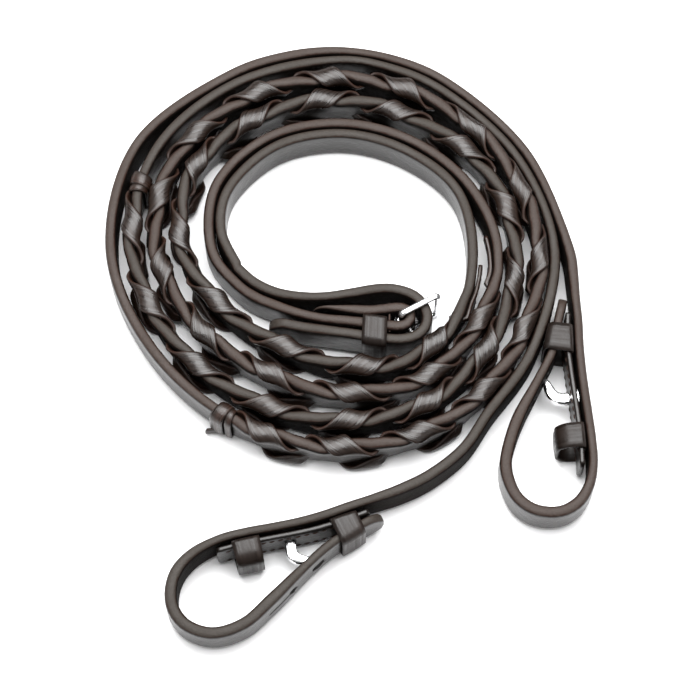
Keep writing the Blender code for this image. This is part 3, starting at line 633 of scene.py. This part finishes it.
def girth_beside(strap, others, chape, stud):
    """Thickness that each length of a strap can have, as a share of the usual one."""
    s = strap.route.s
    xy = strap.route.xy
    stud_xy = plan_of(stud)
    half = PLAIN_HALF + (LOOP_HALF - PLAIN_HALF) * ease((strap.start - s) / 60)
    laced = ease((s - strap.binding + 12) / 10) * ease((strap.slots[-1] + 14 - s) / 10)
    half += (LACED_HALF - PLAIN_HALF) * laced
    for i in range(0, len(xy), 4):
        to_stud = np.hypot(*(stud_xy - xy[i]).T).min()
        to_chape = np.hypot(*(chape.xy - xy[i]).T).min()
        most = [gaps_to(other, strap, i, 30).min() / 2 - 0.12 for other in others]
        most += [to_stud - 0.2, to_chape - CHAPE_THICK / 2 - 1.35]
        half[i:i + 4] = np.minimum(half[i:i + 4], min(most))
    half = np.clip(half, THICK / 2, None)
    reach = 16
    padded = np.pad(half, reach, mode="edge")
    lowest = np.array([padded[i:i + 2 * reach + 1].min() for i in range(len(half))])
    return running_mean(lowest, reach) / (THICK / 2)


for name, strap, chape in (("right", right, right_chape), ("left", left, left_chape)):
    strap.room = room_beside(strap, (right, left))
    strap.girth = girth_beside(strap, (right, left), chape, nodes[f"{name}_hook_stud"])
    strap.sides = sides_beside(strap, (right, left))


def punch(obj, cutters):
    """Cut holes through a mesh once, without leaving a modifier or the cutters behind."""
    for cutter in cutters:
        by = obj.modifiers.new("hole", "BOOLEAN")
        by.operation = "DIFFERENCE"
        by.solver = "EXACT"
        by.object = cutter
    shape = obj.evaluated_get(bpy.context.evaluated_depsgraph_get())
    mesh = bpy.data.meshes.new_from_object(shape)
    obj.modifiers.clear()
    obj.data = mesh
    for cutter in cutters:
        bpy.data.objects.remove(cutter, do_unlink=True)


def hole_cutter(route, s, half_long, half_tall, middle, power, material):
    """A bar across a strap: round for power 1, nearly rectangular for a small power."""
    turn = np.radians(np.arange(7.5, 360, 15))[None, :]
    long = half_long * np.sign(np.cos(turn)) * np.abs(np.cos(turn)) ** power
    tall = half_tall * np.sign(np.sin(turn)) * np.abs(np.sin(turn)) ** power
    half_across = 3.5
    across = np.array([-half_across, half_across])[:, None]
    grid = route.spot(s + long + 0 * across, across + 0 * long, middle + tall + 0 * across)
    marks = (np.zeros(2), np.zeros(turn.size), 0.0)
    return make_mesh("hole", [(grid, marks)], material)


def slot_cutter(route, s, long, across, half_tall, offset, material):
    """A straight block at the tongue's height, standing across a strap."""
    out = (route.spot(s, 1, 0) - route.spot(s, 0, 0))[:2]
    along = np.array([out[1], -out[0]])
    centre = route.spot(s, offset, 0)[:2]
    corners = ((-1, -1), (1, -1), (1, 1), (-1, 1))
    grid = [[(*(centre + step * along * long / 2 + side * out * across / 2),
              TONGUE_Z + up * half_tall) for side, up in corners] for step in (-1, 1)]
    return make_mesh("slot", [(grid, (np.zeros(2), np.zeros(4), 0.0))], material)


def rein(name, strap, grain, flesh, edge, flesh_side, tongue_slot, hook):
    """The whole strap: smooth grain on one face, rough flesh on the other, and its holes."""
    grid, marks = strap_grid(strap.place, 0, strap.route.length, 2.2, STRAP_SECTION,
                             skive=SKIVE if flesh_side < 0 else 0.0)
    obj = make_mesh(name, [(grid, marks)], grain)
    rings, around = grid.shape[:2]
    n = (STRAP_SECTION[0][:, 0] + np.roll(STRAP_SECTION[0][:, 0], -1)) / 2
    side = np.where(n * flesh_side > 0, 1, 0)
    side = np.where(np.abs(n) < THICK / 2 - 0.3, 2, side)
    index = np.zeros(len(obj.data.polygons), dtype=np.int32)
    index[:(rings - 1) * around] = np.tile(side, rings - 1)
    obj.data.materials.append(flesh)
    obj.data.materials.append(edge)
    obj.data.polygons.foreach_set("material_index", index)
    middle = LACED_LIFT + WIDTH / 2
    slit_at = HOLE_AT + 1 + SLIT / 2
    catch_at = strap.route.near(hook[1])
    punch(obj, [hole_cutter(strap.route, HOLE_AT, HOLE_RADIUS, HOLE_RADIUS, middle, 1.0, grain),
                hole_cutter(strap.route, slit_at, SLIT / 2, 0.35, middle, 0.4, grain),
                hole_cutter(strap.route, catch_at, *CATCH, middle, 0.4, grain),
                slot_cutter(strap.route, *tongue_slot, grain)])
    return obj


def declare_cord(strap):
    """Works out the middle line of a rein, a flat cord that starts and ends in the object's own
    fittings; nothing uses the points.
    """
    route = strap.route
    s = np.linspace(0, route.length, 240)
    middle = route.spot(s, 0 * s, strap.lift(s) + WIDTH / 2) * MM


LACE_RISE = WIDTH + 0.2 - LACE_RADIUS - LACE_MID
LACE_RUN = 2 * LACE_RISE + math.pi * LACE_RADIUS


def over_edge(u, height):
    """(n, z) of a lace at running height u from its slot, over the edge and down again."""
    arc = np.clip((u - LACE_RISE) / LACE_RADIUS, 0, math.pi)
    up = np.minimum(u, LACE_RISE)
    down = np.clip(u - LACE_RISE - math.pi * LACE_RADIUS, 0, None)
    depth = np.maximum(LACE_RISE - up, down)
    flank = (LACE_PUFF + 0.15) * ease(depth / LACE_RISE)
    reach = LACE_RADIUS + height
    bend = np.abs(np.cos(arc)) ** 4 + np.abs(np.sin(arc)) ** 4
    square = bend ** -0.14
    n = -np.cos(arc) * (reach * square + LACE_PUFF - flank)
    z = LACE_MID + up - down + np.sin(arc) * (reach - LACE_RADIUS * (1 - square) * 0.5)
    return n, z


def lace_pieces(strap, side, lower, rng):
    """Grids for the wraps of one lace; side is the face that each wrap starts from.

    On the strap's unrolled surface a wrap runs flat out of its slot, steeply over the edge
    and flat into the next slot, broad at the edge and pinched at both slots.
    """
    outline, around, total_v = LACE_SECTION
    shift = STAGGER if lower else 0.0
    slots = [s + shift for s in strap.slots]
    steep = 0.1
    grids = []
    for a, b in zip(slots, slots[1:]):
        x = np.linspace(-0.05, 1.05, 56)[:, None]
        pace = LACE_RUN * (1 + steep * np.cos(2 * math.pi * (x - 0.5)))
        u = LACE_RUN * (x + steep * np.sin(2 * math.pi * (x - 0.5)) / (2 * math.pi))
        run = np.hypot(b - a, pace)
        broad = np.sin(math.pi * np.clip(x, 0, 1))
        half = (LACE_PINCH + (LACE_WIDTH - LACE_PINCH) * broad) / 2 * (1 + rng.normal(0, 0.03))
        w = outline[None, :, 0] * half
        s = a + x * (b - a) - w * pace / run
        u = u + w * (b - a) / run
        tuck = np.minimum(x, 1 - x) * (b - a)
        sink = -1.9 * (1 - ease((tuck + 0.8) / 4.5))
        curl = 0.12 * (1 - broad) * np.sign(0.5 - x) * outline[None, :, 0]
        height = outline[None, :, 1] + 0.1 + sink + curl * ease(tuck / 4)
        n, z = over_edge(u, height)
        if lower:
            z = WIDTH - z
            n = -side * n + strap.shape(s, z)[1]
        else:
            n, z = strap.clear_of(s, -side * n, z, 0.08 + height)
        n = strap.held_back(s, n)
        along = np.r_[0, np.cumsum(np.hypot(np.diff(x[:, 0]) * (b - a), np.diff(u.mean(1))))]
        grids.append((strap.route.spot(s, n, z + strap.lift(s)),
                      (along * MM, around * MM, total_v * MM)))
    end = slots[-1]
    tail = 8.0 if lower else 24.0
    past = np.linspace(-1.5, tail, 24)[:, None]
    w = outline[None, :, 0] * (LACE_PINCH + (LACE_WIDTH - LACE_PINCH) * ease(past / 8)) / 2
    sink = -1.7 * (1 - ease((past + 0.4) / 2.4))
    height = outline[None, :, 1] + 0.05 + sink + 0.3 * ease((past - 8) / 14)
    z = LACE_MID + w - 0.02 * past
    if lower:
        z = WIDTH - z
    grids.append((strap.place(end + past + 0 * w, side * (THICK / 2 + height), z),
                  (past[:, 0] * MM, around * MM, total_v * MM)))
    return grids


def band_path(bend_back, bend_front, steps=7):
    """The four rounded corners of a loop: side, top, bend and outward direction."""
    out = []
    for at_front, top, begin, bend in ((0, 0, 180, bend_back), (1, 0, 270, bend_front),
                                       (1, 1, 0, bend_front), (0, 1, 90, bend_back)):
        for i in range(steps):
            t = math.radians(begin + 90 * i / (steps - 1))
            out.append((at_front, top, bend, math.cos(t), math.sin(t)))
    return out


def band_grid(back, front, low, high, wall, back_wall, bend_front=1.2, bend_back=1.0,
              crown=0.15):
    """A keeper: a rounded strip bent into a closed loop between pairs of plan points."""
    back = np.asarray(back, float)
    front = np.asarray(front, float)
    corners = band_path(bend_back, bend_front)
    stops = []
    for item, after in zip(corners, corners[1:] + corners[:1]):
        stops.append((item, after, 0.0))
        if item[:2] != after[:2]:
            stops += [(item, after, part) for part in (0.2, 0.4, 0.6, 0.8)]
    across = [(v, 0.0) for v in np.linspace(-1, 1, 7)]
    across.append((1.03, 0.5))
    across += [(v, 1.0 + crown * (1 - v * v)) for v in np.linspace(1, -1, 7)]
    across.append((-1.03, 0.5))

    def point(item, v, h):
        at_front, top, bend, cx, cz = item
        mix = (v + 1) / 2
        b = back[0] * (1 - mix) + back[1] * mix
        f = front[0] * (1 - mix) + front[1] * mix
        out = (f - b) / np.hypot(*(f - b))
        thick = wall if at_front else back_wall
        corner = f - bend * out if at_front else b + bend * out
        z_mid = high - bend if top else low + bend
        xy = corner + out * cx * (bend + h * thick)
        return np.array([*xy, z_mid + cz * (bend + h * wall)])

    rings = [[point(item, v, h) * (1 - part) + point(after, v, h) * part for v, h in across]
             for item, after, part in stops]
    grid = np.array(rings + rings[:1]) + (*PLAN_SHIFT, 0)
    n, m = grid.shape[:2]
    return grid, (np.arange(n) * 0.5 * MM, np.arange(m) * 0.5 * MM, m * 0.5 * MM)


def walls(route, points, n):
    """Plan points n to the right of a route, beside each of the given points."""
    return [route.spot(route.near(p), n, 0)[:2] - PLAN_SHIFT for p in points]


def done(obj, body="reins", replaces=None):
    """Put a finished piece on its body, in place of the CAD nodes that it stands for."""
    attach(obj, body)
    if replaces:
        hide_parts(*replaces)
    return obj


def stitches(name, route, n, first, last, lift, rows, pitch=3.4):
    """Short raised stitches in rows along a chape, each a small bent bar."""
    grids = []
    ring = np.radians(np.arange(0, 360, 60))[None, :]
    t = np.linspace(0, 1, 7)[:, None]
    for row in rows:
        for i in range(int((last - first) / pitch)):
            s0 = first + i * pitch + 0.3
            s = s0 + t * (pitch - 0.9)
            arch = 0.28 * np.sin(math.pi * t) - 0.12
            size = 0.26 * (0.6 + 0.4 * np.sin(math.pi * t))
            z = row + (t - 0.5) * 0.35 + size * np.sin(ring) + lift
            grids.append((route.spot(s + 0 * ring, n + arch + size * np.cos(ring), z),
                          (t[:, 0] * MM, np.arange(6) * 0.2 * MM, 1.2 * MM)))
    return make_mesh(name, grids, THREAD)


def binding_turn(strap, s, wide, slack, lean, wall):
    """One loose turn of lace round the strap; lean moves its outer face along the strap."""
    ends = np.array([s - wide / 2, s + wide / 2])
    half = THICK / 2 + slack
    back = strap.route.spot(ends - lean / 2, -half, 0)[:, :2] - PLAN_SHIFT
    front = strap.route.spot(ends + lean / 2, half, 0)[:, :2] - PLAN_SHIFT
    lift = float(strap.lift(s))
    return band_grid(back, front, lift - 0.2, lift + WIDTH + 0.15, wall, wall, half - 0.1,
                     half - 0.1, 0.3)


def binding_tail(strap):
    """The cut end of the binding lace, sticking out near the floor."""
    outline, around, total = LACE_SECTION
    along = np.linspace(0, 1, 9)[:, None]
    s = strap.binding - 2.0 - 4.0 * along + 0 * outline[None, :, 0]
    n = 2.8 + 2.6 * along ** 1.3 + outline[None, :, 1]
    z = 3.2 - 0.7 * along + outline[None, :, 0] * 2.2
    return (strap.route.spot(s, n, z), (along[:, 0] * 5.0 * MM, around * MM, total * MM))


# The straps.
leathers = {"right": RIGHT_LEATHER, "left": LEFT_LEATHER}
prong = np.array([math.cos(math.radians(TONGUE_ANGLE)), math.sin(math.radians(TONGUE_ANGLE))])
fold_slot = (right.route.near((24.0, 10.8)), 17, 11.6, 2.0, -3.0)
prong_hole = (left.route.near(BAR + TONGUE_REACH * prong), 5.0, 8, 1.8, 0.0)
for name, strap, edge, flesh_side, tongue_slot, hook in (
        ("right", right, RIGHT_EDGE, -1, fold_slot, RIGHT_HOOK),
        ("left", left, LEFT_EDGE, 1, prong_hole, LEFT_HOOK)):
    body = rein(f"{name}_rein_leather", strap, leathers[name], FLESH_LEATHER, edge, flesh_side,
                tongue_slot, hook)
    done(body, replaces=[f"{name}_rein"])
    declare_cord(strap)

# The laces and their bindings.
rng = np.random.default_rng(7)
for name, strap, side, loose in (("right", right, -1, 1.4), ("left", left, 1, 1.25)):
    for tier in ("upper", "lower"):
        grids = lace_pieces(strap, side, tier == "lower", rng)
        lace = make_mesh(f"{name}_lace_{tier}_leather", grids, LACE_LEATHER)
        done(lace, replaces=[f"{name}_lace_{tier}"])
    turns = [binding_turn(strap, strap.binding - 2.2, 5.4, loose, -0.8, 1.2),
             binding_turn(strap, strap.binding + 1.7, 2.8, 0.8, 0.5, 1.0), binding_tail(strap)]
    lace = make_mesh(f"{name}_binding_leather", turns, LACE_LEATHER)
    done(lace, replaces=[f"{name}_lace_binding"])

# The chapes.
for name, route, hook in (("right", right_chape, RIGHT_HOOK), ("left", left_chape, LEFT_HOOK)):
    grid, marks = strap_grid(lambda s, n, z, r=route: r.spot(s, n, z + LACED_LIFT), 0,
                             route.length, 1.5, CHAPE_SECTION, tip=1.2)
    strip = make_mesh(f"{name}_chape_leather", [(grid, marks)], leathers[name])
    punch(strip, [hole_cutter(route, route.near(hook[0]), STUD_RADIUS, STUD_RADIUS,
                              LACED_LIFT + WIDTH / 2, 1.0, leathers[name])])
    done(strip, replaces=[f"{name}_chape"])

# The keepers: plan points of the back wall and of the front wall, and the front's bend.
behind = -(CHAPE_THICK / 2 + 0.1)
beyond = PLAIN_HALF + CLEAR
keepers = {
    "right_keeper_tip": (walls(right_chape, [(86, 7), (86, -4.5)], behind),
                         walls(right.route, [(81.9, 7.5), (79.4, -4)], beyond + 0.1), 1.9),
    "right_keeper_loop": (walls(right_chape, [(89, -34), (89.6, -44)], behind),
                          walls(right_chape, [(89, -34), (89.6, -44)], 8.3), 5.0),
    "left_keeper_tip": (walls(left_chape, [(-7, -74.5), (2.6, -71)], behind),
                        walls(left.route, [(-4.5, -80.5), (4.6, -74.7)], -beyond), 1.9),
    "left_keeper_loop": (walls(left_chape, [(-44.5, -83.4), (-34.5, -81)], behind),
                         walls(left_chape, [(-44.5, -83.4), (-34.5, -81)], 7.2), 4.0)}
for name, (back, front, bend) in keepers.items():
    grid = band_grid(back, front, LACED_LIFT - 0.2, LACED_LIFT + WIDTH + 0.3, 1.25, 0.8, bend)
    loop = make_mesh(f"{name}_leather", [grid], KEEPER_LEATHER, caps=False)
    done(loop, replaces=[name])
grid = band_grid(walls(right.route, [(5, 8.2), (14.6, 7.1)], -beyond),
                 walls(left.route, [(5, 2.7), (14.6, 1.4)], -beyond),
                 BUCKLE_LIFT - 0.2, BUCKLE_LIFT + WIDTH + 0.3, 1.25, 0.8, 1.9)
loop = make_mesh("buckle_keeper_leather", [grid], KEEPER_LEATHER, caps=False)
done(loop, replaces=["buckle_keeper"])

# The stitching, and the CAD pieces that are kept.
for name, route, first, last in (
        ("right", right_chape, right_chape.near((86.2, 5)), right_chape.length - 3),
        ("left", left_chape, 3.0, left_chape.near((-1, -72.5)))):
    seam = stitches(f"{name}_chape_stitches", route, CHAPE_THICK / 2, first, last, LACED_LIFT,
                    (2.5, WIDTH - 2.5))
    done(seam, replaces=[f"{name}_chape_stitching"])

for name, material in (("right_hook_stud", METAL), ("left_hook_stud", METAL),
                       ("buckle_frame", METAL), ("buckle_tongue", METAL),
                       ("buckle_stitching", THREAD)):
    node = nodes[name]
    for index in range(len(node.data.materials)):
        node.data.materials[index] = material


def studio():
    """White sweep floor, wide soft key from above and weak fills."""
    mesh = bpy.data.meshes.new("floor")
    reach, below = 3.0, -0.0002
    mesh.from_pydata([(-reach, -reach, below), (reach, -reach, below), (reach, reach, below),
                      (-reach, reach, below)], [], [(0, 1, 2, 3)])
    floor = bpy.data.objects.new("floor", mesh)
    material, tree, shader = node_material("studio_floor")
    shader.inputs["Base Color"].default_value = (0.95, 0.95, 0.955, 1)
    shader.inputs["Roughness"].default_value = 0.9
    mesh.materials.append(material)
    bpy.context.scene.collection.objects.link(floor)
    world = bpy.data.worlds.new("studio")
    world.use_nodes = True
    back = world.node_tree.nodes["Background"]
    back.inputs["Color"].default_value = (1.0, 1.0, 1.0, 1)
    back.inputs["Strength"].default_value = 0.42
    bpy.context.scene.world = world
    for spot, energy, size in (((0.0, 0.34, 1.15), 44.0, 1.15), ((-0.8, -0.6, 0.8), 1.5, 0.5),
                               ((0.8, -0.6, 0.8), 1.5, 0.5)):
        data = bpy.data.lights.new("softbox", "AREA")
        data.energy = energy
        data.size = size
        lamp = bpy.data.objects.new("softbox", data)
        lamp.location = spot
        lamp.rotation_euler = (-Vector(spot)).to_track_quat("-Z", "Y").to_euler()
        bpy.context.scene.collection.objects.link(lamp)
    look = bpy.context.scene.view_settings
    look.view_transform = "Standard"
    look.exposure = 0.0
    look.gamma = 0.95


camera()
studio()
bpy.context.view_layer.update()
